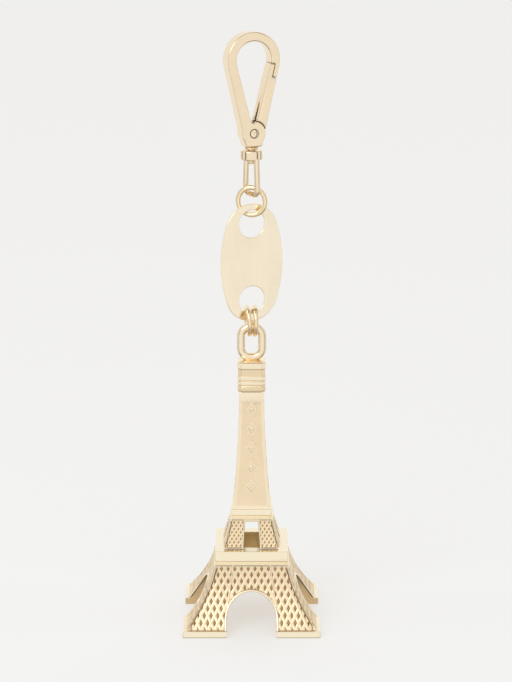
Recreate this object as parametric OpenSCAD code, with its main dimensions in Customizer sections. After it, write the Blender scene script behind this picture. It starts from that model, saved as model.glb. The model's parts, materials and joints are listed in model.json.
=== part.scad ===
// Keychain: a swivel trigger hook, jump rings, an oval tag with two holes,
// and a four-legged lattice tower charm.
// The origin is the middle of the hook's inner bow, where it hangs. Z is up.
// The hook, links and tag each hang turned by their own angle about Z.

/* [Hook] */
// Outer radius of the hook's bow
bow_r = 9.3; // [8.5:0.1:10]
// Width of the hook's metal, measured across the wall
bow_w = 3.1; // [2.8:0.1:3.3]
// Thickness of the hook from front to back
hook_t = 5; // [4.6:0.1:5.4]
// Distance from the bow's centre down to the gate rivet
rivet_drop = 24.3; // [23.5:0.1:25.5]
// Angle that the hook is turned about the vertical
hook_yaw = 23; // [0:1:45]

/* [Swivel] */
// Diameter of the swivel collar
collar_d = 7.4; // [7:0.1:8]
// Height of the swivel collar
collar_h = 3.2; // [2.8:0.1:3.6]
// Diameter of the swivel eye's wire
eye_wire = 1.9; // [1.7:0.1:2.1]
// Half width of the swivel eye, to the middle of its wire
eye_half = 3.7; // [3.6:0.05:3.8]
// Angle that the swivel eye is turned about the vertical
eye_yaw = -58; // [-62:1:-58]

/* [Rings] */
// Outer diameter of the upper jump ring
upper_d = 11; // [10.9:0.1:11.1]
// Wire of the upper jump ring
upper_wire = 1.7; // [1.6:0.05:1.8]
// Angle that the upper jump ring is turned about the vertical
upper_yaw = -14; // [-18:1:-14]
// Outer diameter of the two lower jump rings
lower_d = 10.9; // [10.8:0.1:11]
// Wire of the two lower jump rings
lower_wire = 1.6; // [1.5:0.05:1.7]

/* [Tag] */
// Height of the oval tag
tag_h = 40.4; // [39:0.1:42]
// Width of the oval tag
tag_w = 22.6; // [21:0.1:24]
// Thickness of the oval tag
tag_t = 1; // [0.8:0.05:1.2]
// Diameter of the two holes in the tag
tag_hole_d = 9.4; // [9:0.1:9.5]
// Angle that the tag is turned about the vertical
tag_yaw = 24; // [20:1:28]

/* [Tower] */
// Width across the tower's four feet
base_w = 47; // [44:1:50]
// Width of the first platform
deck_w = 25; // [23:1:27]
// Width of the second platform
upper_deck_w = 13.8; // [13:0.1:14.5]
// Width of the crown block
crown_w = 9.5; // [9:0.1:10]
// Diameter of the tower eye's rounded metal
loop_wire = 2.8; // [2.6:0.1:3]
// Width of the opening in the tower's eye
loop_gap = 4.4; // [4.2:0.1:4.8]
// Radius of the arch between two legs
arch_r = 8.5; // [8:0.1:9]
// Thickness of the legs' walls
leg_wall = 2.2; // [1.8:0.1:2.6]

/* [Hidden] */
$fn = 64;
eps = 0.01;
gold = "khaki";
pale_gold = "palegoldenrod";
steel = "silver";

// Hook outline: a round bow whose two sides run straight down to a narrow base
hook_taper = 13.6;                              // lean of each side from the vertical
bow_in = bow_r - bow_w;
base_half = 2.85;
base_z = -rivet_drop - 4.5;
vee_r = 1.3;                                    // rounding at the foot of the opening
vee_z = -rivet_drop + 4.9;
lip_h = 1;                                      // round boss under the base
lip_d = 4.6;

// Gate: it closes the right-hand side, between the bow's tip and the rivet
ear_r = 4.15;                                   // cheeks that carry the rivet
gate_gap = 0.15;
tip_reach = 23.8;                               // from the rivet to the gate's far end
lip_reach = 19.6;                               // from the rivet to the foot of the bow's lip
bow_lip = 1.6;                                  // lip that stands outside the gate's end
tab_t = 1.25;                                   // the gate's tab between the cheeks
tab_r = 2.4;
slot_t = 2.3;
slot_r = 2.55;
rivet_d = 2;
rivet_head = 2.9;
rivet_proud = 0.25;

// Swivel: the collar turns on a pin that is pressed up into the hook's base
collar_top = base_z - lip_h - 0.25;
collar_foot = collar_top - collar_h;
pin_d = 2.2;
pin_fit = 0.06;
pin_head_d = 3.2;
pin_head_h = 1.3;
pin_top = base_z + 1.5;
eye_bend = 2;                                   // radius of the eye's two lower corners
leg_lean = 3;                                   // the eye's legs lean in towards the collar
eye_foot = collar_foot - 11.7;                  // middle of the eye's lower wire
link_gap = 0.3;                                 // slack between two hanging links

// Upper jump ring: its top wire hangs over the eye's lower wire
upper_r = (upper_d - upper_wire) / 2;
ring_slack = 0.4;                               // height of the ring over the eye's wire
upper_z = eye_foot + (eye_wire + upper_wire) / 2 + ring_slack - upper_r;
upper_foot = upper_z - upper_r;

// Oval tag: two end arcs and two side arcs that run into one another
end_r = 9.5;
tag_top = -48.2;
tag_z = tag_top - tag_h / 2;
side_r = (pow(tag_h / 2, 2) + pow(tag_w / 2, 2) - tag_h * end_r) / (tag_w - 2 * end_r);
side_turn = atan2(tag_h / 2 - end_r, side_r - tag_w / 2);
hole_z = [13.35, -12.8];                         // the two holes, from the tag's middle

// Lower jump rings: a pair through the tag's lower hole and the tower's eye
lower_r = (lower_d - lower_wire) / 2;
strip_top = tag_z + hole_z[1] - tag_hole_d / 2;
pair_slack = 1.15;                              // height of the pair over the tag's strip
lower_top = strip_top + lower_wire / 2 + pair_slack;
lower_foot = lower_top - 2 * lower_r;
pair_x = [-0.85, 0.9];                          // where the pair crosses the tower's eye
pair_lean = [-4, 1];
pair_yaw = 97;

// Tower levels, from the eye down to the feet
bar_z = lower_foot + (lower_wire + loop_wire) / 2 + link_gap;
loop_r = (loop_gap + loop_wire) / 2;
loop_bend = 3.2;                                // radius of the eye's two upper corners
loop_z = bar_z - loop_bend;
loop_foot = -99.9;
crown_top = -102.2;
crown_foot = -112.8;
shaft_foot = -153.7;
upper_deck_h = 2.3;
cornice_h = 1.2;
deck_top = -167.1;
deck_h = 3.6;
plinth_top = -192;
foot_z = -194.3;
legs_top = deck_top - deck_h - cornice_h;
shaft_top_w = 8.6;
shaft_foot_w = 13;
upper_leg_w = [14.4, 19.6];
leg_top_w = 25.6;
leg_foot_w = 44.6;
window_w = [4.4, 5.8];
panel_depth = 0.4;
well_w = 16;

// ---- Shared shapes ----

// Turns its children about the vertical
module turned(angle) { rotate([0, 0, angle]) children(); }

// Stands a flat outline up in the XZ plane, centred in its thickness
module upright(thick) { rotate([90, 0, 0]) linear_extrude(thick, center = true) children(); }

// A straight round bar from one point to another
module bar(from, to, d) {
    run = to - from;
    translate(from) rotate([0, acos(run[2] / norm(run)), atan2(run[1], run[0])])
        cylinder(h = norm(run), d = d);
}

// A ring of round wire standing upright in the XZ plane
module wire_ring(r, d) { rotate([90, 0, 0]) rotate_extrude() translate([r, 0]) circle(d = d); }

// A jump ring, with the fine slit where its wire closes at the given angle
module jump_ring(r, d, slit_angle) {
    difference() {
        wire_ring(r, d);
        rotate([0, slit_angle, 0]) translate([0, -d, r - d]) cube([0.08, 2 * d, 2 * d]);
    }
}

// ---- Hook ----

// The sides leave the bow a little above its tangent points
module bow_outline(r, half, foot) {
    touch = [r * cos(hook_taper - 4), -r * sin(hook_taper - 4)];
    circle(r);
    polygon([touch, [half, foot], [-half, foot], [-touch[0], touch[1]]]);
}

module opening_outline() {
    bow_outline(bow_in, vee_r, vee_z);
    translate([0, vee_z]) circle(vee_r);
}

module wedge(from, to, reach) {
    polygon([[0, 0], for (k = [0 : 4]) let (a = from + (to - from) * k / 4)
        reach * [sin(a), cos(a)]]);
}

// The right-hand wall that the gate fills, grown by a gap. Its ends are arcs about
// the rivet, and the bow's lip stops the gate from swinging outwards.
module gate_zone(gap) {
    lip_x = function(z) (bow_r - bow_lip + z * sin(hook_taper)) / cos(hook_taper) + gap;
    translate([0, -rivet_drop]) difference() {
        intersection() {
            wedge(-12, 100, 40);
            circle(lip_reach + gap);
        }
        circle(ear_r + gate_gap - gap);
    }
    intersection() {
        translate([0, -rivet_drop]) circle(tip_reach + gap);
        polygon([[2, -8], [lip_x(-8), -8], [lip_x(2), 2], [2, 2]]);
    }
}

module hook_body() {
    color(gold) turned(hook_yaw) difference() {
        union() {
            upright(hook_t) difference() {
                union() {
                    bow_outline(bow_r, base_half, base_z);
                    translate([0, -rivet_drop]) circle(ear_r);
                }
                opening_outline();
                gate_zone(gate_gap);
            }
            translate([0, 0, base_z - lip_h]) cylinder(h = lip_h + 1, d = lip_d);
        }
        upright(slot_t) translate([0, -rivet_drop]) {
            circle(slot_r);
            wedge(-14, 60, 6);
        }
        translate([0, 0, -rivet_drop]) rotate([90, 0, 0])
            cylinder(h = 2 * hook_t, d = rivet_d, center = true);
        translate([0, 0, base_z - lip_h - 1]) cylinder(h = pin_top - base_z + lip_h + 1, d = pin_d);
    }
}

module gate() {
    color(pale_gold) turned(hook_yaw) difference() {
        union() {
            upright(hook_t) intersection() {
                difference() {
                    bow_outline(bow_r, base_half, base_z);
                    opening_outline();
                }
                gate_zone(0);
            }
            translate([0, -(slot_t - tab_t) / 2 + 0.1, -rivet_drop]) upright(tab_t) {
                circle(tab_r);
                intersection() {
                    wedge(17, 34, 9);
                    circle(7);
                }
            }
        }
        translate([0, 0, -rivet_drop]) rotate([90, 0, 0])
            cylinder(h = 2 * hook_t, d = rivet_d + 0.1, center = true);
    }
}

module gate_rivet() {
    color(pale_gold) turned(hook_yaw) translate([0, 0, -rivet_drop]) rotate([90, 0, 0])
        rotate_extrude() {
            square([rivet_d / 2, hook_t / 2 + rivet_proud]);
            translate([0, hook_t / 2]) square([rivet_head / 2, rivet_proud]);
            mirror([0, 1]) {
                square([rivet_d / 2, hook_t / 2 + rivet_proud]);
                translate([0, hook_t / 2]) square([rivet_head / 2, rivet_proud]);
            }
        }
}

// A two-turn torsion spring beside the gate's tab, with one leg on the gate
module gate_spring() {
    spring_wire = 0.32;
    spring_r = rivet_d / 2 + 0.25;
    spring_y = slot_t / 2 - 0.1;
    color(steel) turned(hook_yaw) translate([0, 0, -rivet_drop]) {
        for (turn = [0, 1]) translate([0, spring_y - spring_wire * (0.5 + turn * 0.95), 0])
            wire_ring(spring_r, spring_wire, $fn = 24);
        translate([0, spring_y - spring_wire / 2, 0])
            bar([-spring_r * 0.7, 0, spring_r * 0.7], [-1.9, 0, 1.3], spring_wire);
    }
}

// ---- Swivel ----

module swivel_pin() {
    color(pale_gold) rotate_extrude() {
        translate([0, collar_foot - 0.05]) square([pin_d / 2, pin_top - collar_foot + 0.05]);
        translate([0, collar_foot - 0.05 - pin_head_h]) square([pin_head_d / 2 - 0.4, pin_head_h]);
        translate([0, collar_foot - 0.05 - pin_head_h + 0.4]) square([pin_head_d / 2, pin_head_h - 0.4]);
    }
}

module swivel_eye() {
    overlap = 0.2;
    straight_wire = eye_wire - 0.04;
    leg_foot = eye_foot + eye_bend;
    leg_start = [eye_half - eye_bend + eye_bend * cos(leg_lean), 0, leg_foot + eye_bend * sin(leg_lean)];
    leg_top = leg_start[0] - tan(leg_lean) * (collar_foot + 0.6 - leg_start[2]);
    color(gold) turned(eye_yaw) difference() {
        union() {
            translate([0, 0, collar_foot]) rotate_extrude() {
                translate([0, 0.4]) square([collar_d / 2, collar_h - 0.8]);
                square([collar_d / 2 - 0.4, collar_h]);
                for (z = [0.4, collar_h - 0.4]) translate([collar_d / 2 - 0.4, z]) circle(0.4);
            }
            for (side = [0, 1]) mirror([side, 0, 0]) {
                translate([eye_half - eye_bend, 0, leg_foot]) rotate([90, 0, 0])
                    rotate([0, 0, -90]) rotate_extrude(angle = 90 + leg_lean)
                        translate([eye_bend, 0]) circle(d = eye_wire);
                bar(leg_start - overlap * [-sin(leg_lean), 0, cos(leg_lean)],
                    [leg_top, 0, collar_foot + 0.6], straight_wire);
            }
            bar([eye_bend - eye_half - overlap, 0, eye_foot],
                [eye_half - eye_bend + overlap, 0, eye_foot], straight_wire);
        }
        translate([0, 0, collar_foot - 1]) cylinder(h = collar_h + 2, d = pin_d + 2 * pin_fit);
    }
}

// ---- Rings and tag ----

module upper_ring() {
    color(gold) translate([0, 0, upper_z]) turned(upper_yaw) jump_ring(upper_r, upper_wire, -70);
}

// One quarter of the tag's edge, from its top round to its side, as two arcs
tag_quarter = concat(
    [for (a = [90 : -(90 - side_turn) / 8 : side_turn + 0.1])
        [end_r * cos(a), tag_h / 2 - end_r + end_r * sin(a)]],
    [for (k = [5 : -1 : 0]) let (a = side_turn * k / 5)
        [side_r * cos(a) - (side_r - tag_w / 2), side_r * sin(a)]]);

module tag_outline() {
    last = len(tag_quarter) - 1;
    right = concat(tag_quarter, [for (k = [last - 1 : -1 : 0]) [tag_quarter[k][0], -tag_quarter[k][1]]]);
    polygon(concat(right, [for (k = [len(right) - 2 : -1 : 1]) [-right[k][0], right[k][1]]]));
}

module oval_tag() {
    color(gold) translate([0, 0, tag_z]) turned(tag_yaw) upright(tag_t) difference() {
        tag_outline();
        for (z = hole_z) translate([0, z]) circle(d = tag_hole_d);
    }
}

module lower_ring(k) {
    color(k == 0 ? gold : pale_gold) translate([pair_x[k], 0, lower_foot]) rotate([0, pair_lean[k], 0])
        translate([0, 0, lower_r]) turned(pair_yaw) jump_ring(lower_r, lower_wire, 30 - 60 * k);
}

module lower_ring_left() { lower_ring(0); }
module lower_ring_right() { lower_ring(1); }

// ---- Tower ----

// Half widths of a side that flares from one width to another, as points going down
function flare(w, z, power, n) = [for (k = [0 : n]) let (t = k / n)
    [w[0] / 2 + (w[1] - w[0]) / 2 * pow(t, power), z[0] + (z[1] - z[0]) * t]];
function both_sides(side) = concat(side, [for (k = [len(side) - 1 : -1 : 0]) [-side[k][0], side[k][1]]]);

// A square tower stage: its front and side outlines, crossed
module stage(w, z, power = 1, n = 1) {
    reach = max(w) + 2;
    intersection_for (turn = [0, 90]) turned(turn) upright(reach)
        polygon(both_sides(flare(w, z, power, n)));
}

module slab(w, top, h) { translate([-w / 2, -w / 2, top - h]) cube([w, w, h]); }

module tower_eye() {
    for (side = [0, 1]) mirror([side, 0, 0]) {
        translate([loop_r - loop_bend, 0, loop_z]) rotate([90, 0, 0])
            rotate_extrude(angle = 90) translate([loop_bend, 0]) circle(d = loop_wire);
        bar([loop_r, 0, crown_top - 1], [loop_r, 0, loop_z], loop_wire);
    }
    bar([loop_bend - loop_r, 0, bar_z], [loop_r - loop_bend, 0, bar_z], loop_wire);
    translate([-loop_r, -loop_wire / 2, crown_top - 1])
        cube([2 * loop_r, loop_wire, loop_foot - crown_top + 1]);
}

module crown() {
    groove_z = crown_top - 6.4;
    slab(crown_w, crown_top, crown_top - groove_z);
    slab(crown_w - 0.8, groove_z + 1, 4);
    slab(crown_w, groove_z - 1.6, groove_z - 1.6 - crown_foot);
}

// The shaft's four faces are framed, with a sunk panel between the corner posts
module shaft() {
    difference() {
        stage([shaft_top_w, shaft_foot_w], [crown_foot + eps, shaft_foot - eps], 1.8, 10);
        for (turn = [0 : 90 : 270]) turned(turn) shaft_panel();
    }
}

module shaft_panel() {
    top = crown_foot - 2.6;
    foot = shaft_foot + 1;
    side = flare([shaft_top_w, shaft_foot_w], [crown_foot, shaft_foot], 1.8, 10);
    inset = [for (p = side) [p[0] - 1.3, p[1]]];
    intersection() {
        upright(60) polygon(both_sides(inset));
        turned(90) upright(60) polygon(concat([for (p = side) [p[0] - panel_depth, p[1]]],
            [[30, shaft_foot], [30, crown_foot]]));
        translate([-30, -30, foot]) cube([60, 60, top - foot]);
    }
}

module upper_legs() {
    top = shaft_foot - upper_deck_h - cornice_h;
    difference() {
        stage(upper_leg_w, [top + eps, deck_top - eps], 1.2, 4);
        for (turn = [0, 90]) turned(turn) upright(40)
            polygon(both_sides(flare(window_w, [top - 0.6, deck_top - eps * 2], 1, 1)));
        stage([6, 14], [top - 0.6, deck_top - eps * 2], 1, 1);
    }
}

module lower_legs() {
    wall = 2 * leg_wall;
    difference() {
        union() {
            stage([leg_top_w, leg_foot_w], [legs_top + eps, plinth_top - eps], 1.6, 8);
            slab(base_w, plinth_top, plinth_top - foot_z);
        }
        stage([leg_top_w - wall - 4, leg_foot_w - wall - 1], [legs_top - 2, foot_z - eps], 1.4, 8);
        for (turn = [0, 90]) turned(turn) {
            upright(60) {
                translate([0, foot_z + 5.3]) circle(arch_r);
                translate([-arch_r, foot_z - 1]) square([2 * arch_r, 6.3]);
            }
        }
    }
}

module tower() {
    color(gold) difference() {
        union() {
            tower_eye();
            crown();
            shaft();
            slab(upper_deck_w, shaft_foot, upper_deck_h);
            slab(upper_deck_w - 1, shaft_foot - upper_deck_h + eps, cornice_h + eps);
            upper_legs();
            slab(deck_w, deck_top, deck_h);
            slab(deck_w - 0.8, deck_top - deck_h + eps, cornice_h + eps);
            lower_legs();
        }
        slab(well_w, deck_top + 0.3, deck_h + cornice_h + 3.3);
    }
}

hook_body();
gate();
gate_rivet();
gate_spring();
swivel_pin();
swivel_eye();
upper_ring();
oval_tag();
lower_ring_left();
lower_ring_right();
tower();
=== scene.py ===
# %% [markdown]
# # A keychain with a lattice tower, in pale gold
# The charm hangs as one chain: a trigger hook, a swivel, a jump ring, an oval tag, a pair of
# jump rings and a cast tower. The CAD model gives every place and every joint. This lesson puts
# finished metal pieces over it, one small step at a time.

# %% Load the frame
import json
import math

import bpy
from mathutils import Matrix, Vector

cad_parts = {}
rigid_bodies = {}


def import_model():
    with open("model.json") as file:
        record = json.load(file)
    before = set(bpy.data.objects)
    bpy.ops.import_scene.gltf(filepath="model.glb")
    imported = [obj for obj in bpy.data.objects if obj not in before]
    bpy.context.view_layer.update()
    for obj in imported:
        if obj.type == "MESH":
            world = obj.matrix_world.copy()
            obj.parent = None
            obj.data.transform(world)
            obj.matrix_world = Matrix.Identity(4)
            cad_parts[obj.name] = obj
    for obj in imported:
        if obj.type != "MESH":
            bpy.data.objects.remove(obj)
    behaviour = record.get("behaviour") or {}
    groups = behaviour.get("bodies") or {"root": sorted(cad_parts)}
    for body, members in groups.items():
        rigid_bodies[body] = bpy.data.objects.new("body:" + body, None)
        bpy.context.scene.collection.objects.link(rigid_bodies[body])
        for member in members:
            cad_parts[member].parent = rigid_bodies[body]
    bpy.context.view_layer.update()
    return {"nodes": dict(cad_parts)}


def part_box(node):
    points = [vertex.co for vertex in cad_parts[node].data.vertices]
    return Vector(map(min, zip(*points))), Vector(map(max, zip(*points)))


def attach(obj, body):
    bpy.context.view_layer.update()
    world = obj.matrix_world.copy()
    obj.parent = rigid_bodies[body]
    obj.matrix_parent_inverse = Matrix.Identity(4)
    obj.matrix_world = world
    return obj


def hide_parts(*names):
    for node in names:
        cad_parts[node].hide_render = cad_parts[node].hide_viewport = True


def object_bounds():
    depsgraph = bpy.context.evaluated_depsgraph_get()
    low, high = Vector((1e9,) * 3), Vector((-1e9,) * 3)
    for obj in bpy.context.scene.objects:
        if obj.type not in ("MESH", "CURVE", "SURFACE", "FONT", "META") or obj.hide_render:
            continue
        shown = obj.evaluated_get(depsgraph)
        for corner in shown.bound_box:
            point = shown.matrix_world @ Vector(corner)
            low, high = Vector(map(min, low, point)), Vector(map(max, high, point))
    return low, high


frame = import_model()
MM = 0.001

# %% [markdown]
# ## Camera, floor and light
# Jewellery is pictured on a white table under a big soft light. Polished metal has no colour of
# its own to show: it shows what is round it, so the surroundings matter as much as the metal.
# Lamps alone would leave black reflections. A bright sky with two dim gaps, like the gaps
# between soft boxes, gives wires and edges the darker streaks that make them read as metal.

# %% Camera
camera_data = bpy.data.cameras.new("camera")
camera_data.sensor_fit = "HORIZONTAL"
camera_data.sensor_width = 36
camera_data.lens = 155.1
camera = bpy.data.objects.new("camera", camera_data)
bpy.context.scene.collection.objects.link(camera)
camera.location = (0.0015, -0.7261, 0.0921)
aim = Vector((0.0015, 0, -0.0957))
camera.rotation_euler = (aim - camera.location).to_track_quat("-Z", "Y").to_euler()
bpy.context.scene.camera = camera
bpy.context.scene.view_settings.view_transform = "Standard"
print("camera is", round((aim - camera.location).length, 3), "m from the charm")


# %% A class for shader maths
class Wire:
    """One output of a shader node, on which +, -, * and / add the Math nodes."""

    def __init__(self, shader, output):
        self.shader, self.output = shader, output

    def math(self, operation, *values):
        return self.shader.node("ShaderNodeMath", {"operation": operation}, *values)

    def __add__(self, other): return self.math("ADD", self, other)
    def __sub__(self, other): return self.math("SUBTRACT", self, other)
    def __mul__(self, other): return self.math("MULTIPLY", self, other)
    def __truediv__(self, other): return self.math("DIVIDE", self, other)
    def __rsub__(self, other): return self.math("SUBTRACT", other, self)
    __radd__, __rmul__ = __add__, __mul__


class Shader:
    """The node tree of one finish. node() makes any node, sets it, and fills or links its sockets."""

    def __init__(self, tree):
        self.tree = tree
        tree.nodes.clear()

    def node(self, kind, settings, *inputs, out=0, **named):
        made = self.tree.nodes.new(kind)
        for name, value in settings.items():
            if name == "stops":
                for k, (place, colour) in enumerate(value):
                    stop = made.color_ramp.elements[k] if k < 2 else made.color_ramp.elements.new(place)
                    stop.position, stop.color = place, colour
            else:
                setattr(made, name, value)
        for socket, value in list(enumerate(inputs)) + list(named.items()):
            place = made.inputs[socket if isinstance(socket, int) else socket.replace("_", " ")]
            if isinstance(value, Wire):
                self.tree.links.new(value.output, place)
            elif value is not None:
                place.default_value = value
        return Wire(self, made.outputs[out] if made.outputs else None)

    def parts(self, vector):
        """The x, y and z of a vector."""
        split = self.node("ShaderNodeSeparateXYZ", {}, vector)
        return [Wire(self, socket) for socket in split.output.node.outputs]

    def ramp(self, value, low, high):
        """0 below low, 1 above high, and smooth between."""
        return self.node("ShaderNodeMapRange", {"interpolation_type": "SMOOTHSTEP"},
                         value, low, high, 0.0, 1.0)

    def mix(self, amount, first, second):
        """A blend of two colours. A colour Mix has them on its sockets 6 and 7, and its result on 2."""
        blank = [None] * 5
        return self.node("ShaderNodeMix", {"data_type": "RGBA"}, amount, *blank, first, second, out=2)


print("shader helpers are ready")

# %% Sky
world = bpy.data.worlds.new("studio")
bpy.context.scene.world = world
world.use_nodes = True
sky = Shader(world.node_tree)
ray = sky.node("ShaderNodeTexCoord", {})
across, along, height = sky.parts(ray)
level = across.math("SQRT", across * across + along * along + 0.0001)
side = across.math("ABSOLUTE", across) / level
gap = sky.ramp(side, 0.80, 0.86) * (1 - sky.ramp(side, 0.93, 0.98))
ceiling = sky.ramp(height, 0.84, 0.95)
under = 1 - sky.ramp(height, -0.75, -0.45)
dim = 1 - (1 - gap * 0.9) * (1 - ceiling * 0.55) * (1 - under * 0.5)
colour = sky.mix(dim, (1, 1, 1, 1), (0.16, 0.12, 0.08, 1))
glow = sky.node("ShaderNodeBackground", {}, colour, 0.945)
sky.node("ShaderNodeOutputWorld", {}, glow)
print("sky nodes:", len(world.node_tree.nodes))

# %% Floor and key light
bpy.ops.mesh.primitive_plane_add(size=14, location=(0, 4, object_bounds()[0][2] - 0.00005))
floor = bpy.context.object
floor.name = "floor"
floor.visible_glossy = False
# The floor glows: its warm emission is painted light that lifts the shadow under the tower and tints it warm,
# like light bounced off the gold, while its bluish base keeps the lit floor white.
paper = bpy.data.materials.new("paper_painted_glow")
paper.use_nodes = True
paper_shader = Shader(paper.node_tree)
paper_look = paper_shader.node(
    "ShaderNodeBsdfPrincipled", {}, Base_Color=(0.335, 0.392, 0.437, 1), Roughness=0.9,
    Specular_IOR_Level=0.0, Emission_Color=(1.0, 0.925, 0.85, 1), Emission_Strength=0.62)
paper_shader.node("ShaderNodeOutputMaterial", {}, paper_look)
floor.data.materials.append(paper)

key_data = bpy.data.lights.new("key", "AREA")
key_data.size, key_data.energy = 0.6, 2.0
key = bpy.data.objects.new("key", key_data)
bpy.context.scene.collection.objects.link(key)
key.location = (-0.5, -0.65, 0.55)
key.rotation_euler = (aim - key.location).to_track_quat("-Z", "Y").to_euler()
print("floor lies at", round(floor.location.z, 4), "m")


# %% Modelling helpers
def alone(piece):
    """Makes one object the only one selected, and the active one."""
    for other in bpy.context.view_layer.objects:
        other.select_set(False)
    piece.select_set(True)
    bpy.context.view_layer.objects.active = piece


def take(piece, name):
    """Names a new piece and puts its place into its mesh, so its object is at the origin."""
    bpy.ops.object.transform_apply(location=True, rotation=True, scale=True)
    piece.name = piece.data.name = name
    return piece


def choose(piece, test, kind="FACE"):
    """Opens edit mode with only the faces, edges or corners chosen that pass a test."""
    alone(piece)
    mesh = piece.data
    bpy.context.tool_settings.mesh_select_mode = (kind == "VERT", kind == "EDGE", kind == "FACE")
    for part in (mesh.vertices, mesh.edges, mesh.polygons):
        part.foreach_set("select", [False] * len(part))
    if kind == "FACE":
        for face in mesh.polygons:
            face.select = test(face.center, face.normal)
    elif kind == "EDGE":
        for edge in mesh.edges:
            edge.select = test(*[mesh.vertices[k].co for k in edge.vertices])
    else:
        for corner in mesh.vertices:
            corner.select = test(corner.co)
    bpy.ops.object.mode_set(mode="EDIT")


def close():
    """Leaves edit mode."""
    bpy.ops.object.mode_set(mode="OBJECT")


def outwards(piece):
    """Merges doubled corners and turns every face outwards."""
    alone(piece)
    bpy.ops.object.mode_set(mode="EDIT")
    bpy.ops.mesh.select_all(action="SELECT")
    bpy.ops.mesh.remove_doubles(threshold=0.002 * MM)
    bpy.ops.mesh.normals_make_consistent(inside=False)
    close()
    return piece


def modify(piece, kind, **settings):
    """Adds one modifier, applies it, and so makes it part of the mesh."""
    alone(piece)
    added = piece.modifiers.new(kind.lower(), kind)
    for name, value in settings.items():
        setattr(added, name, value)
    bpy.ops.object.modifier_apply(modifier=added.name)
    return piece


def cut(piece, *tools, way="DIFFERENCE"):
    """Cuts a piece with others, which are then thrown away."""
    for tool in tools:
        modify(piece, "BOOLEAN", operation=way, object=tool, solver="EXACT", use_self=True)
        bpy.data.objects.remove(tool)
    return piece


def smooth(piece, angle=35):
    """Shades curved faces smoothly, and keeps the large flat faces flat right up to their edges."""
    alone(piece)
    bpy.ops.object.shade_smooth_by_angle(angle=math.radians(angle))
    return modify(piece, "WEIGHTED_NORMAL", mode="FACE_AREA", weight=100, keep_sharp=True)


def soften(piece, width, angle=25, steps=3, clamp=False):
    """Rounds the sharp edges a little, as casting and polishing do."""
    alone(piece)
    bpy.ops.object.shade_smooth_by_angle(angle=math.radians(angle))
    return modify(piece, "BEVEL", width=width * MM, segments=steps, limit_method="ANGLE",
                  angle_limit=math.radians(angle), use_clamp_overlap=clamp)


def turn(piece, degrees):
    """Turns a finished piece about the charm's upright axis."""
    alone(piece)
    piece.rotation_euler = (0, 0, math.radians(degrees))
    bpy.ops.object.transform_apply(location=False, rotation=True, scale=False)
    return piece


def join(name, *pieces):
    """Makes several shapes one piece."""
    alone(pieces[0])
    for piece in pieces:
        piece.select_set(True)
    bpy.ops.object.join()
    pieces[0].name = pieces[0].data.name = name
    return pieces[0]


def twin(piece, name, degrees=0, move=(0, 0, 0)):
    """A copy with its own mesh, turned about the upright axis and moved."""
    copy = piece.copy()
    copy.data = piece.data.copy()
    copy.name = copy.data.name = name
    bpy.context.scene.collection.objects.link(copy)
    alone(copy)
    copy.location = [v * MM for v in move]
    copy.rotation_euler = (0, 0, math.radians(degrees))
    bpy.ops.object.transform_apply(location=True, rotation=True, scale=True)
    return copy


def finish_off(piece, body, slot, *nodes):
    """Hands a finished piece to the frame: its body, its material slot, which is not used, and the CAD it stands
    for.
    """
    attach(piece, body)
    if nodes:
        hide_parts(*nodes)
    print(piece.name, "has", len(piece.data.polygons), "faces")
    return piece


print("modelling helpers are ready")

# %% [markdown]
# ## The hook
# A trigger hook is a die casting: one flat bar of metal bent to a tear shape, with softly
# rounded edges. It could be modelled again from a circle, but the CAD node already has the
# exact seam, cheeks and slot. So a copy is merged into one skin, its flat faces are joined,
# and its edges are rounded. The gate is made in the same way, and gets a slot for its spring.


# %% Copy a CAD node as one clean skin
def skin_of(node, name):
    """A copy of a CAD node, with doubled corners merged and flat faces joined."""
    alone(frame["nodes"][node])
    copy = frame["nodes"][node].copy()
    copy.data = frame["nodes"][node].data.copy()
    copy.name = copy.data.name = name
    copy.parent = None
    for key in [key for key in copy.keys() if key.startswith("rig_")]:
        del copy[key]
    bpy.context.scene.collection.objects.link(copy)
    alone(copy)
    bpy.ops.object.mode_set(mode="EDIT")
    bpy.ops.mesh.select_all(action="SELECT")
    bpy.ops.mesh.remove_doubles(threshold=0.002 * MM)
    bpy.ops.mesh.dissolve_limited(angle_limit=math.radians(1))
    close()
    return copy


HOOK_TURN = 23
RIVET_Z = -24.3
RIVET_SEAT = 1.62
HOOK_HALF_DEPTH = 2.5
FRONT = (math.radians(90), 0, math.radians(HOOK_TURN))


def disc(name, radius, thick, centre, turned=(0, 0, 0), sides=64):
    """A plain round blank, in mm."""
    bpy.ops.mesh.primitive_cylinder_add(vertices=sides, radius=radius * MM, depth=thick * MM,
                                        location=[v * MM for v in centre], rotation=turned)
    return take(bpy.context.object, name)


def box(name, low, high):
    """A plain square blank between two corners, in mm."""
    middle = [(a + b) / 2 * MM for a, b in zip(low, high)]
    bpy.ops.mesh.primitive_cube_add(size=1, location=middle, scale=[(b - a) * MM for a, b in zip(low, high)])
    return take(bpy.context.object, name)


hook = soften(skin_of("hook_body", "hook"), 0.42)
facing = Vector((math.sin(math.radians(HOOK_TURN)), -math.cos(math.radians(HOOK_TURN)), 0))
for face_side in (-1, 1):
    seat = facing * face_side * HOOK_HALF_DEPTH
    cut(hook, disc("rivet_seat", RIVET_SEAT, 0.7, (seat.x, seat.y, RIVET_Z), FRONT, 48))
smooth(hook)

# %% Gate with its spring slot
gate = soften(skin_of("gate", "gate_bar"), 0.36)
slot = turn(box("spring_slot", (-1, -1.1, -20.5), (2.9, 0.1, -14.2)), HOOK_TURN)
smooth(cut(gate, slot))

# %% [markdown]
# ## Rivet and pin
# The gate turns on a rivet: a round pin whose ends are spread into flat heads, each with a
# small dimple from the tool that spread it. A cylinder is the obvious start. The dimple and
# the rounded rim are an inset and a bevel on its end faces. The swivel pin is made in the
# same way, with its head below the collar.

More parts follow.
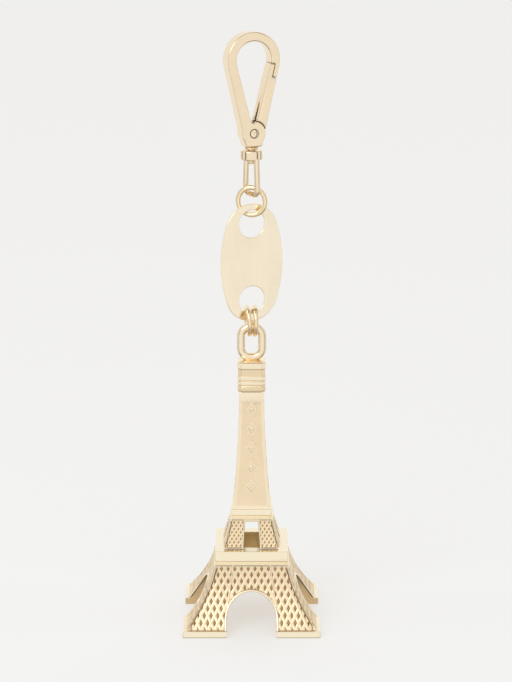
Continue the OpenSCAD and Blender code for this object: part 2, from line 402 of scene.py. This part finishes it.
# %% Rivet
rivet = disc("rivet", 1.36, 5.36, (0, 0, RIVET_Z), FRONT, 48)
for face_side in (-1, 1):
    for thick, deep in ((0.2, 0.12), (0.72, 0.0), (0.16, -0.2)):
        choose(rivet, lambda c, n: n.dot(facing) * face_side > 0.99
               and (c - Vector((0, 0, RIVET_Z * MM))).cross(facing).length < 0.1 * MM)
        bpy.ops.mesh.inset(thickness=thick * MM, depth=deep * MM)
        close()
smooth(rivet, 50)

# %% Swivel pin
COLLAR_FOOT, COLLAR_TOP = -33.25, -30.05
pin_head = soften(disc("pin_head", 1.6, 1.3, (0, 0, COLLAR_FOOT - 0.7), sides=48), 0.45)
pin = smooth(join("pin", pin_head, disc("pin_stem", 1.1, 6.2, (0, 0, -30.6), sides=32)))

# %% [markdown]
# ## Swivel
# The collar is a short turned drum that spins on the pin. Below it hangs an eye of round wire.
# A wire could be a curve with thickness, but a bend made with the spin tool is an exact arc,
# as a bending jig makes it. One helper draws every wire here: a circle is pushed along straight
# runs and spun round bends.


# %% Draw a wire along runs and bends
def wire(name, thick, start, facing, moves, sides=20):
    """A round wire. A move is a run (dx, dy, dz), or a bend (centre, axis, degrees), in mm."""
    bpy.ops.mesh.primitive_circle_add(vertices=sides, radius=thick / 2 * MM, rotation=facing,
                                      location=[v * MM for v in start])
    piece = take(bpy.context.object, name)
    choose(piece, lambda a, b: True, "EDGE")
    for move in moves:
        if isinstance(move[0], tuple):
            centre, axis, degrees = move
            bpy.ops.mesh.spin(steps=max(4, round(abs(degrees) / 7)), angle=-math.radians(degrees),
                              center=[v * MM for v in centre], axis=axis)
        else:
            bpy.ops.mesh.extrude_region_move(TRANSFORM_OT_translate={"value": [v * MM for v in move]})
    bpy.ops.mesh.select_all(action="SELECT")
    bpy.ops.mesh.remove_doubles(threshold=0.01 * MM)
    bpy.ops.mesh.fill_holes(sides=0)
    close()
    return outwards(piece)


# %% Swivel eye
EYE_FOOT, EYE_TURN, EYE_HALF, EYE_BEND, LEAN = -44.95, -58, 3.7, 2, 3
ALONG_X = (0, math.radians(90), 0)
lean = math.radians(LEAN)
leg_start = EYE_FOOT + EYE_BEND * (1 + math.sin(lean))
leg = (COLLAR_FOOT + 0.6 - leg_start) / math.cos(lean)
halves = []
for hand in (1, -1):
    halves.append(wire("eye_leg", 1.9, (0, 0, EYE_FOOT), ALONG_X, [
        (hand * (EYE_HALF - EYE_BEND), 0, 0),
        ((hand * (EYE_HALF - EYE_BEND), 0, EYE_FOOT + EYE_BEND), (0, -hand, 0), 90 + LEAN),
        (-hand * leg * math.sin(lean), 0, leg * math.cos(lean))]))
collar = soften(disc("collar", 3.7, COLLAR_TOP - COLLAR_FOOT, (0, 0, (COLLAR_TOP + COLLAR_FOOT) / 2)), 0.4)
cut(collar, disc("pin_bore", 1.18, 6, (0, 0, -32), sides=32))
swivel = turn(join("swivel", collar, *halves), EYE_TURN)
smooth(swivel, 40)
print("swivel box", [round(v / MM, 2) for corner in (swivel.bound_box[0], swivel.bound_box[6]) for v in corner])

# %% [markdown]
# ## Jump rings
# A jump ring is one turn of wire, pinched shut, so it has a hair-thin slit. A torus is the
# start. One slice of it is taken out for the slit and the two cut ends are closed.


# %% Make the three rings
def jump_ring(name, radius, thick, centre, tilt, yaw, slit):
    """A ring standing on edge at a centre, in mm, turned by yaw and leaning by tilt."""
    bpy.ops.mesh.primitive_torus_add(major_segments=240, minor_segments=20,
                                     major_radius=radius * MM, minor_radius=thick / 2 * MM)
    ring = bpy.context.object
    ring.name = ring.data.name = name
    cut_at = math.radians(slit)
    choose(ring, lambda c, n: abs(math.atan2(c.y, c.x) - cut_at) < math.radians(0.8))
    bpy.ops.mesh.delete(type="FACE")
    bpy.ops.mesh.select_all(action="SELECT")
    bpy.ops.mesh.fill_holes(sides=0)
    close()
    stand = Matrix.Rotation(math.radians(yaw), 4, "Z") @ Matrix.Rotation(math.radians(90), 4, "X")
    ring.matrix_world = Matrix.Translation(Vector(centre) * MM) @ tilt @ stand
    take(ring, name)
    return smooth(ring, 40)


UPPER_R, LOWER_R, LOWER_FOOT = 4.65, 4.65, -93.25
upper_ring = jump_ring("upper_link", UPPER_R, 1.7, (0, 0, -47.4), Matrix(), -14, 160)
lower_rings = []
for name, x, lean_side, slit in (("left_link", -0.85, -4, 60), ("right_link", 0.9, 1, 120)):
    tilt = Matrix.Rotation(math.radians(lean_side), 4, "Y")
    centre = Vector((x, 0, LOWER_FOOT)) + tilt @ Vector((0, 0, LOWER_R))
    lower_rings.append(jump_ring(name, LOWER_R, 1.6, centre, tilt, 97, slit))
for ring, node in ((upper_ring, "upper_ring"), (lower_rings[0], "lower_ring_left"),
                   (lower_rings[1], "lower_ring_right")):
    low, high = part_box(node)
    gap = max(abs(ring.bound_box[0][k] - low[k]) for k in range(3))
    print(ring.name, "is", round(gap / MM, 3), "mm off its CAD node at most")

# %% [markdown]
# ## Oval tag
# The tag is stamped from 1 mm sheet, and tumbling takes the sharpness off its edges. The CAD
# copy gives the exact outline and holes, so it needs only a fine bevel.

# %% Tag
tag = smooth(soften(skin_of("oval_tag", "tag_plate"), 0.22))

# %% [markdown]
# ## Tower: the plain stages
# The tower is one casting, but it is easier to shape stage by stage, as the pattern maker did.
# Every stage is square, so one helper draws them all: a square is pushed down through a list of
# widths and heights. The curved flare of shaft and legs is then only a longer list. The four
# faces of shaft and legs are sunk inside a border with the inset tool, ready for the relief.


# %% Draw a square stage
def tiers(name, levels, chamfer=0.0):
    """A square stage pushed down from its top through (width, height) levels, in mm."""
    width, top = levels[0]
    bpy.ops.mesh.primitive_plane_add(size=width * MM, location=(0, 0, top * MM))
    piece = take(bpy.context.object, name)
    choose(piece, lambda c: True, "VERT")
    if chamfer:
        bpy.ops.mesh.bevel(offset=chamfer * MM, affect="VERTICES")
    bpy.ops.mesh.select_mode(type="FACE")
    bpy.ops.mesh.select_all(action="SELECT")
    for next_width, level in levels[1:]:
        bpy.ops.mesh.extrude_region_move(TRANSFORM_OT_translate={"value": (0, 0, (level - top) * MM)})
        grow = next_width / width
        bpy.ops.transform.resize(value=(grow, grow, 1), center_override=(0, 0, level * MM))
        width, top = next_width, level
    close()
    return outwards(piece)


def flare(widths, heights, power, steps):
    """Levels of a stage whose sides sweep outwards on the way down."""
    return [(widths[0] + (widths[1] - widths[0]) * (k / steps) ** power,
             heights[0] + (heights[1] - heights[0]) * k / steps) for k in range(steps + 1)]


def half_width(levels):
    """A function that gives a stage's half width at any height, in mm."""
    def at(z):
        for (w0, z0), (w1, z1) in zip(levels, levels[1:]):
            if z >= z1 or (w1, z1) == levels[-1]:
                return (w0 + (w1 - w0) * (z0 - z) / (z0 - z1)) / 2
    return at


def sink_faces(piece, low, high, border, depth):
    """Sinks the four faces between two heights, and leaves a border round each."""
    for quarter in range(4):
        facing = Vector((math.sin(math.radians(90 * quarter)), -math.cos(math.radians(90 * quarter)), 0))
        choose(piece, lambda c, n: n.dot(facing) > 0.75 and low * MM < c.z < high * MM)
        bpy.ops.mesh.inset(thickness=border * MM, depth=-depth * MM, use_even_offset=True)
        close()
    return piece


# %% Tower heights, from the crown to the table
BAR_Z, CROWN_TOP, CROWN_FOOT, SHAFT_FOOT = -90.75, -102.2, -112.8, -153.7
UPPER_DECK_FOOT, UPPER_LEGS_TOP, DECK_TOP, DECK_FOOT = -156.0, -157.2, -167.1, -170.7
LEGS_TOP, PLINTH_TOP, TABLE = -171.9, -192.0, -194.3
low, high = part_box("tower")
print("tower stands", round((high.z - low.z) / MM, 1), "mm high; table at", round(low.z / MM, 2))

# %% Eye: a closed loop of thick wire, half sunk in the crown
LOOP_HALF, LOOP_BEND, LOOP_LOW = 3.6, 3.2, -101.3
straight = LOOP_HALF - LOOP_BEND
loop = wire("loop", 2.8, (0, 0, BAR_Z), ALONG_X, [
    (straight, 0, 0), ((straight, 0, BAR_Z - LOOP_BEND), (0, 1, 0), 90),
    (0, 0, LOOP_LOW - BAR_Z + 2 * LOOP_BEND), ((straight, 0, LOOP_LOW + LOOP_BEND), (0, 1, 0), 90),
    (-2 * straight, 0, 0), ((-straight, 0, LOOP_LOW + LOOP_BEND), (0, 1, 0), 90),
    (0, 0, BAR_Z - LOOP_LOW - 2 * LOOP_BEND), ((-straight, 0, BAR_Z - LOOP_BEND), (0, 1, 0), 90),
    (straight, 0, 0)], 28)

# %% Crown: a block with a sunk belt, two grooves and a rounded foot
crown = tiers("crown", [
    (8.7, CROWN_TOP), (9.5, -102.6), (9.5, -104.4), (9.1, -104.6), (9.1, -107.0), (9.5, -107.2),
    (9.5, -108.4), (8.8, -108.6), (8.8, -108.9), (9.4, -109.1), (9.4, -110.0), (8.8, -110.2),
    (8.8, -110.5), (9.5, -110.8), (9.5, -111.9), (9.1, -112.5), (8.5, -112.8)], chamfer=1.1)
soften(crown, 0.12, angle=30, steps=2, clamp=True)

# %% Shaft with sunk panels
SHAFT = flare((8.6, 13.0), (CROWN_FOOT, SHAFT_FOOT), 1.8, 15)
shaft = tiers("shaft", [(8.6, CROWN_FOOT + 0.4)] + SHAFT + [(13.0, SHAFT_FOOT - 0.4)])
sink_faces(shaft, SHAFT_FOOT + 0.4, -115.6, 1.1, 0.5)
soften(shaft, 0.2, steps=2, clamp=True)

# %% Decks: two square slabs, each over a narrower cornice
upper_deck = soften(tiers("upper_deck", [(13.8, SHAFT_FOOT), (13.8, UPPER_DECK_FOOT), (12.8, UPPER_DECK_FOOT),
                                         (12.8, UPPER_LEGS_TOP - 0.3)]), 0.25)
deck = tiers("deck", [(25, DECK_TOP), (25, DECK_FOOT), (24.2, DECK_FOOT), (24.2, LEGS_TOP - 0.3)])
cut(deck, box("well", (-8, -8, -175), (8, 8, -166)))
soften(deck, 0.25)

# %% Upper legs: a flared stage with a window through each pair of faces
UPPER = flare((14.4, 19.6), (UPPER_LEGS_TOP, DECK_TOP), 1.2, 4)
upper_legs = tiers("upper_legs", [(14.4, UPPER_LEGS_TOP + 0.4)] + UPPER + [(19.6, DECK_TOP - 0.4)])
sink_faces(upper_legs, DECK_TOP, UPPER_LEGS_TOP, 0.8, 0.45)
soften(upper_legs, 0.15, steps=2, clamp=True)
hollow = tiers("hollow", [(6, UPPER_LEGS_TOP - 0.6), (14, DECK_TOP - 0.8)])
windows = [tiers("window", [(4.4, UPPER_LEGS_TOP - 0.6), (5.8, DECK_TOP - 0.8)]) for _ in range(2)]
for window, grow in zip(windows, ((1, 6, 1), (6, 1, 1))):
    alone(window)
    window.scale = grow
    bpy.ops.object.transform_apply(location=False, rotation=False, scale=True)
cut(upper_legs, hollow, *windows)

# %% Lower legs: hollow, with an arch through each pair of faces
ARCH_R, ARCH_Z = 8.5, TABLE + 5.3
LOWER = flare((25.6, 44.6), (LEGS_TOP, PLINTH_TOP), 1.6, 12)
lower_legs = tiers("lower_legs", [(25.6, LEGS_TOP + 0.4)] + LOWER + [(44.6, PLINTH_TOP - 0.4)])
sink_faces(lower_legs, PLINTH_TOP, LEGS_TOP, 1.0, 0.55)
soften(lower_legs, 0.2, steps=2, clamp=True)
cut(lower_legs, soften(tiers("plinth", [(47, PLINTH_TOP), (47, TABLE)]), 0.3), way="UNION")


def arches():
    """The two crossed tunnels that make the four arches."""
    tunnels = []
    for quarter in (0, 90):
        tunnel = disc("tunnel", ARCH_R, 60, (0, 0, ARCH_Z), (math.radians(90), 0, 0), 72)
        cut(tunnel, box("jambs", (-ARCH_R, -30, TABLE - 3), (ARCH_R, 30, ARCH_Z)), way="UNION")
        tunnels.append(turn(tunnel, quarter))
    return tunnels


def inside():
    """The hollow under the deck, between the legs."""
    return tiers("inside", [(17.2, LEGS_TOP - 2)] + flare((17.2, 39.2), (LEGS_TOP - 2, TABLE - 0.5), 1.4, 8)[1:])


cut(lower_legs, inside(), *arches())
print("legs have", len(lower_legs.data.polygons), "faces")

# %% [markdown]
# ## Tower: the lattice
# The girders of a lattice tower cross in long diamonds. On the casting they are low ribs with
# sunk diamonds between them. One diamond cell is modelled with two insets: the first slopes
# gently from the middle of the rib, and the second drops steeply to the floor. Two arrays repeat
# it over a flat sheet, the cells past the border are deleted, the points that still overhang are
# drawn back to it, and the sheet is laid on the flared face.

# %% One diamond cell, repeated over a flat sheet
def diamond(name, wide, tall, middle):
    """A flat four-cornered face standing in the XZ plane and facing the front, in mm."""
    bpy.ops.mesh.primitive_circle_add(vertices=4, radius=MM, fill_type="NGON",
                                      rotation=(math.radians(90), 0, 0), location=[v * MM for v in middle])
    bpy.context.object.scale = (wide / 2, tall / 2, 1)
    return take(bpy.context.object, name)


def lattice_sheet(name, pitch, rise, half, top, foot, inside_panel, sink, rib):
    """A flat sheet of diamond cells, pitch wide and rise tall, standing in the XZ plane, in mm."""
    columns, rows = math.ceil(2 * half / pitch) + 2, math.ceil((top - foot) / rise) + 2
    first = (-(columns // 2) * pitch, 0, foot)
    sheet = diamond(name, pitch, rise, first)
    choose(sheet, lambda c, n: True)
    bpy.ops.mesh.inset(thickness=rib / 2 * MM, depth=-0.14 * sink * MM)
    bpy.ops.mesh.inset(thickness=0.25 * rib * MM, depth=-0.86 * sink * MM)
    bpy.ops.mesh.select_all(action="SELECT")
    bpy.ops.mesh.duplicate_move(TRANSFORM_OT_translate={"value": (pitch / 2 * MM, 0, rise / 2 * MM)})
    close()
    for count, step in ((columns, (pitch * MM, 0, 0)), (rows, (0, 0, rise * MM))):
        modify(sheet, "ARRAY", count=count, use_relative_offset=False, use_constant_offset=True,
               constant_offset_displace=step, use_merge_vertices=True, merge_threshold=0.02 * MM)

    def cell_middle(c):
        across, up = c.x / MM / pitch, (c.z / MM - foot) / rise
        pairs = [(round(across), round(up)), (round(across - 0.5) + 0.5, round(up - 0.5) + 0.5)]
        near = min(pairs, key=lambda m: abs(across - m[0]) + abs(up - m[1]))
        return near[0] * pitch, foot + near[1] * rise

    choose(sheet, lambda c, n: not inside_panel(*cell_middle(c)))
    bpy.ops.mesh.delete(type="FACE")
    close()
    return sheet


def fit_inside(sheet, border):
    """Draws points that overhang a panel back to its border, where they join the surface."""
    for corner in sheet.data.vertices:
        x, z = corner.co.x / MM, corner.co.z / MM
        corner.co.x, corner.co.z = (v * MM for v in border(x, z))
        if math.hypot(corner.co.x / MM - x, corner.co.z / MM - z) > 0.01:
            corner.co.y = 0
    choose(sheet, lambda c, n: True)
    bpy.ops.mesh.remove_doubles(threshold=0.02 * MM)
    bpy.ops.mesh.dissolve_degenerate(threshold=0.02 * MM)
    close()


def lay(piece, half_at, sunk=0.0):
    """Lays flat relief on the front of a flared stage: each point moves out to the face."""
    for corner in piece.data.vertices:
        corner.co.y -= (half_at(corner.co.z / MM) - sunk) * MM
    return piece


def all_round(name, piece):
    """The same relief on all four faces, as one piece."""
    copies = [twin(piece, name, 90 * k) for k in (1, 2, 3)]
    return join(name, piece, *copies)


# %% Lattice of the lower legs
leg_half = half_width(LOWER)
DIVIDER_TOP, DIVIDER_FOOT = 6.3, 8.8


def divider(z):
    """How far the rib between leg and middle panel is from the centre line."""
    return DIVIDER_TOP + (DIVIDER_FOOT - DIVIDER_TOP) * (LEGS_TOP - z) / (LEGS_TOP - ARCH_Z)


def on_lower_legs(x, z):
    over_arch = math.hypot(x, z - ARCH_Z) > ARCH_R - 0.4 if z > ARCH_Z else abs(x) > ARCH_R - 0.4
    return abs(x) < leg_half(z) - 0.4 and over_arch and PLINTH_TOP - 1 < z < LEGS_TOP + 1


lower_sheet = lattice_sheet("lower_lattice", 2.3, 4.2, 22, LEGS_TOP, PLINTH_TOP, on_lower_legs, 0.5, 1.0)


def lower_border(x, z):
    z = max(PLINTH_TOP + 0.05, min(LEGS_TOP - 0.3, z))
    from_arch = math.hypot(x, z - ARCH_Z) if z > ARCH_Z else abs(x)
    if from_arch < ARCH_R + 0.3:
        out = (ARCH_R + 0.3) / from_arch
        x, z = x * out, ARCH_Z + (z - ARCH_Z) * out if z > ARCH_Z else z
    limit = leg_half(z) - 0.9
    return max(-limit, min(limit, x)), z


fit_inside(lower_sheet, lower_border)
lay(lower_sheet, leg_half, 0.06)
lower_lattice = all_round("lower_lattice", lower_sheet)
print("lower lattice has", len(lower_lattice.data.polygons), "faces")

# %% Lattice of the upper legs, in smaller cells beside the window
upper_half = half_width(UPPER)


def window_half(z):
    return 2.2 + 0.7 * (UPPER_LEGS_TOP - z) / (UPPER_LEGS_TOP - DECK_TOP)


def on_upper_legs(x, z):
    return window_half(z) < abs(x) < upper_half(z) - 0.4 and DECK_TOP - 0.4 < z < UPPER_LEGS_TOP + 0.4


upper_sheet = lattice_sheet("upper_lattice", 1.5, 2.2, 9, UPPER_LEGS_TOP, DECK_TOP, on_upper_legs, 0.35, 0.6)


def upper_border(x, z):
    z = max(DECK_TOP + 0.5, min(UPPER_LEGS_TOP - 0.3, z))
    return math.copysign(max(window_half(z) + 0.3, min(upper_half(z) - 0.7, abs(x))), x), z


fit_inside(upper_sheet, upper_border)
lay(upper_sheet, upper_half, 0.05)
upper_lattice = all_round("upper_lattice", upper_sheet)
print("upper lattice has", len(upper_lattice.data.polygons), "faces")

# %% [markdown]
# ## Tower: ribs, rims and ornaments
# Raised wires frame the lattice: a rim round each arch, a rib on each side of the middle panel,
# and a frame round each window. They are drawn flat with the wire helper and laid on the face
# too. Each sunk panel of the shaft carries five raised lozenges, each with a small boss.


# %% Ribs and rims
def ribs(name, *pieces, half_at, sunk=0.0):
    """Joins relief wires and lays them on all four faces of a stage."""
    return smooth(all_round(name, lay(join(name, *pieces), half_at, sunk)), 50)


UPRIGHT = (0, 0, 0)
steps_down = 6
rim_r = ARCH_R + 0.35
arch_rim = wire("arch_rim", 0.9, (-rim_r, 0, PLINTH_TOP - 0.3), UPRIGHT, [
    (0, 0, ARCH_Z - PLINTH_TOP + 0.3), ((0, 0, ARCH_Z), (0, 1, 0), 180), (0, 0, PLINTH_TOP - 0.3 - ARCH_Z)], 12)
dividers = []
for hand in (-1, 1):
    drop = (ARCH_Z + 0.6 - LEGS_TOP) / steps_down
    spread = (DIVIDER_FOOT - DIVIDER_TOP) / steps_down
    dividers.append(wire("divider", 0.6, (hand * DIVIDER_TOP, 0, LEGS_TOP), UPRIGHT,
                         [(hand * spread, 0, drop)] * steps_down, 10))
lower_ribs = ribs("lower_ribs", arch_rim, *dividers, half_at=leg_half, sunk=0.05)
frames = []
for hand in (-1, 1):
    drop = (DECK_TOP - UPPER_LEGS_TOP + 0.6) / 4
    frames.append(wire("window_side", 0.6, (hand * 2.45, 0, UPPER_LEGS_TOP - 0.4), UPRIGHT,
                       [(hand * 0.17, 0, drop)] * 4, 10))
frames.append(wire("window_top", 0.6, (-2.45, 0, UPPER_LEGS_TOP - 0.5), ALONG_X, [(4.9, 0, 0)], 10))
window_frames = ribs("window_frames", *frames, half_at=upper_half, sunk=0.05)

# %% Five lozenges in each panel of the shaft
shaft_half = half_width(SHAFT)
lozenges = []
for k in range(5):
    middle = (0, 0, -118.7 - 6.8 * k)
    reach = 1.7 + 0.16 * k
    lozenge = diamond("lozenge", 2 * reach, 5.4, middle)
    choose(lozenge, lambda c, n: True)
    bpy.ops.mesh.extrude_region_move(TRANSFORM_OT_translate={"value": (0, -0.42 * MM, 0)})
    bpy.ops.mesh.inset(thickness=0.12 * MM, depth=0.06 * MM)
    bpy.ops.mesh.inset(thickness=0.34 * MM)
    bpy.ops.mesh.inset(thickness=0.12 * MM, depth=-0.24 * MM)
    close()
    boss = soften(disc("boss", 0.55, 0.8, middle, (math.radians(90), 0, 0), 20), 0.22)
    lozenges.append(join("lozenge", lozenge, boss))
ornaments = ribs("shaft_ornaments", *lozenges, half_at=shaft_half, sunk=0.5)
for stage in (loop, crown, shaft, upper_deck, deck, upper_legs, lower_legs):
    smooth(stage)

# %% [markdown]
# ## Finishes
# Every part is plated in the same pale gold, so the difference between them is in the surface.
# The hook and rings are polished: low roughness, and a faint ripple left by the polishing wheel.
# The tag is satin, with a fine grain along its length. The tower is cast: its ridges are
# rubbed bright, its hollows stay matt and are darkened with painted shade, and the shaft's panels
# are stippled. A flat colour with Metallic at 1 would look like plastic foil. Noise in colour,
# roughness and bump, and Pointiness to find worn edges and to paint shade into hollows, give each its own
# character.


# %% Gold
def gold(name, pale, deep, rough, grain=1500.0, bump=0.1, stretch=(1, 1, 1), wear_and_shade=0.5, depth=0.04):
    """A plated finish: clouds of two golds, worn edges, painted shade in the hollows, and a grain in roughness
    and bump.
    """
    material = bpy.data.materials.new(name)
    material.use_nodes = True
    plate = Shader(material.node_tree)
    place = plate.node("ShaderNodeTexCoord", {}, out="Object")
    cloud = plate.node("ShaderNodeTexNoise", {}, Vector=place, Scale=140.0, Detail=3.0)
    run = plate.node("ShaderNodeMapping", {}, Vector=place, Scale=stretch)
    fine = plate.node("ShaderNodeTexNoise", {}, Vector=run, Scale=grain, Detail=2.0)
    point = plate.node("ShaderNodeNewGeometry", {}, out="Pointiness")
    edge = plate.ramp(point, 0.51, 0.58) * wear_and_shade
    # hollow: painted shade, a deeper colour where the surface is concave; it also makes the hollows rougher.
    hollow = (1 - plate.ramp(point, 0.42, 0.49)) * wear_and_shade
    base = plate.mix(cloud, pale, deep)
    base = plate.mix(hollow, base, [v * 0.78 for v in deep[:3]] + [1])
    base = plate.mix(edge, base, [min(1, v * 1.06) for v in pale[:3]] + [1])
    roughness = rough + (cloud - 0.5) * 0.10 + (fine - 0.5) * 0.12 + hollow * 0.15
    normal = plate.node("ShaderNodeBump", {}, Strength=bump, Distance=depth * MM, Height=fine)
    look = plate.node("ShaderNodeBsdfPrincipled", {}, Base_Color=base, Metallic=1.0,
                      Roughness=roughness, Normal=normal)
    plate.node("ShaderNodeOutputMaterial", {}, look)
    return material


polished_gold = gold("polished_gold", (0.94, 0.79, 0.575, 1), (0.90, 0.74, 0.515, 1), 0.17,
                     grain=900, bump=0.06)
ring_gold = gold("bright_ring_gold", (0.98, 0.82, 0.57, 1), (0.93, 0.73, 0.45, 1), 0.13, grain=1200, bump=0.05)
satin_gold = gold("satin_gold", (1.0, 0.89, 0.69, 1), (1.0, 0.87, 0.66, 1), 0.21, grain=2600, bump=0.02,
                  stretch=(1, 1, 0.06))
cast_gold = gold("cast_gold", (0.99, 0.85, 0.64, 1), (0.95, 0.78, 0.54, 1), 0.24,
                 grain=1400, bump=0.14, wear_and_shade=0.8)
ornament_gold = gold("ornament_gold", (0.99, 0.85, 0.64, 1), (0.95, 0.78, 0.54, 1), 0.24,
                     grain=1400, bump=0.1, wear_and_shade=0.2)
# A darker copy of the cast gold: painted shade for the crown's sunk belt and lower band.
belt_shade_gold = gold("belt_shade_gold", (0.92, 0.76, 0.52, 1), (0.84, 0.67, 0.43, 1), 0.26,
                 grain=1400, bump=0.1, wear_and_shade=0.3)
lattice_gold = gold("lattice_gold", (0.96, 0.80, 0.56, 1), (0.88, 0.71, 0.46, 1), 0.36,
                    grain=1100, bump=0.6, depth=0.1)
# An orange copy of the gold for the deck's well: painted reflected light, the warm tint of light bounced between
# its walls.
well_bounce_gold = gold("well_bounce_gold", (1.0, 0.78, 0.46, 1), (1.0, 0.72, 0.40, 1), 0.42, grain=1800, bump=0.2)
# A dark, rough copy of the gold for the floors of pits and panels: the roughness is the casting's matt, the dark
# colour is painted shade.
recess_shade_gold = gold("recess_shade_gold", (0.72, 0.53, 0.30, 1), (0.56, 0.38, 0.18, 1), 0.46, grain=2500, bump=0.35)
shadow_gold = gold("shadow_gold", (0.30, 0.19, 0.09, 1), (0.22, 0.13, 0.06, 1), 0.55, grain=2500, bump=0.2)
stippled_gold = gold("stippled_gold", (0.98, 0.82, 0.59, 1), (0.90, 0.72, 0.47, 1), 0.38,
                     grain=1800, bump=1.0, depth=0.12)
spring_steel = gold("spring_steel", (0.66, 0.65, 0.63, 1), (0.52, 0.51, 0.50, 1), 0.28, grain=3000, bump=0.1)
print("finishes:", ", ".join(m.name for m in bpy.data.materials if m.use_nodes))

# %% Put the finishes on
def dress(piece, *materials):
    """Gives a piece its finishes; faces keep the number of the one they take."""
    piece.data.materials.clear()
    for material in materials:
        piece.data.materials.append(material)


def sunk_to(piece, number, test):
    """Gives the faces that pass a test another finish."""
    for face in piece.data.polygons:
        if test(face.center, face.normal):
            face.material_index = number


SEAM_RADII = (23.8, 19.6, 4.2)


def in_seam(c, n):
    """True on the walls of the gate's seams and of the rivet's seat, which see only each other and get painted
    shade.
    """
    across = (c - facing * c.dot(facing) - Vector((0, 0, RIVET_Z * MM)))
    reach = across.length / MM
    right = across.dot(Vector((-facing.y, facing.x, 0))) > 0 and across.z > 1.2 * MM
    near = any(abs(reach - radius) < 0.35 for radius in SEAM_RADII)
    ends = right and near and across.normalized().cross(n).length < 0.3
    seat = reach < RIVET_SEAT + 0.05 and 1.5 < abs(c.dot(facing)) / MM < 2.45
    return abs(n.dot(facing)) < 0.3 and ends or seat


for piece in (hook, gate, rivet, pin, swivel):
    dress(piece, polished_gold, shadow_gold)
# The seam walls take shadow_gold: painted shade where the walls are hidden from the light.
for piece in (hook, gate):
    sunk_to(piece, 1, in_seam)
for ring in (upper_ring, *lower_rings):
    dress(ring, ring_gold)
dress(tag, satin_gold)
dress(frame["nodes"]["gate_spring"], spring_steel)
for piece in (loop, crown, upper_deck, deck, lower_ribs, window_frames):
    dress(piece, cast_gold, belt_shade_gold)
# The well's walls take the painted warm reflected light.
dress(deck, cast_gold, well_bounce_gold)
sunk_to(deck, 1, lambda c, n: max(abs(c.x), abs(c.y)) < 8.1 * MM and abs(n.z) < 0.5)
dress(ornaments, ornament_gold)
# The crown's sunk belt and lower band take the painted shade.
sunk_to(crown, 1, lambda c, n: -107.1 < c.z / MM < -104.5 or -112.6 < c.z / MM < -110.7)
# Faces sunk inside a stage's face take the second finish: painted shade on the legs and lattice, the stipple on
# the shaft.
for piece, half_at in ((lower_lattice, leg_half), (upper_lattice, upper_half), (shaft, shaft_half),
                       (lower_legs, leg_half), (upper_legs, upper_half)):
    lattice = piece in (lower_lattice, upper_lattice)
    dress(piece, lattice_gold if lattice else cast_gold, stippled_gold if piece == shaft else recess_shade_gold)
    top = max(v.co.z for v in piece.data.vertices)
    sunk_to(piece, 1, lambda c, n: max(abs(c.x), abs(c.y)) < (half_at(c.z / MM) - 0.3) * MM
            and max(abs(n.x), abs(n.y)) > 0.5 and c.z < top - 0.3 * MM)

lower_legs.data.materials.append(lattice_gold)
sunk_to(lower_legs, 2, lambda c, n: PLINTH_TOP < c.z / MM < PLINTH_TOP + 1.3 and n.z > 0.2)

# %% [markdown]
# ## Hand the pieces to the frame
# Each piece rides on the CAD body that it moves with, and stands for its CAD node. The gate
# spring's own node is the right shape, so it stays.

# %% Ride and replace
finish_off(hook, "hook", "hook_gold", "hook_body")
finish_off(rivet, "hook", "hook_gold", "gate_rivet")
finish_off(pin, "hook", "hook_gold", "swivel_pin")
finish_off(gate, "gate", "hook_gold", "gate")
finish_off(swivel, "swivel", "hook_gold", "swivel_eye")
finish_off(upper_ring, "upper_ring", "ring_gold", "upper_ring")
finish_off(lower_rings[0], "lower_rings", "ring_gold", "lower_ring_left")
finish_off(lower_rings[1], "lower_rings", "ring_gold", "lower_ring_right")
finish_off(tag, "tag", "tag_gold", "oval_tag")
finish_off(lower_legs, "tower", "tower_gold", "tower")
for piece in (loop, crown, shaft, upper_deck, deck, upper_legs, lower_lattice, upper_lattice, lower_ribs,
              window_frames, ornaments):
    finish_off(piece, "tower", "tower_gold")
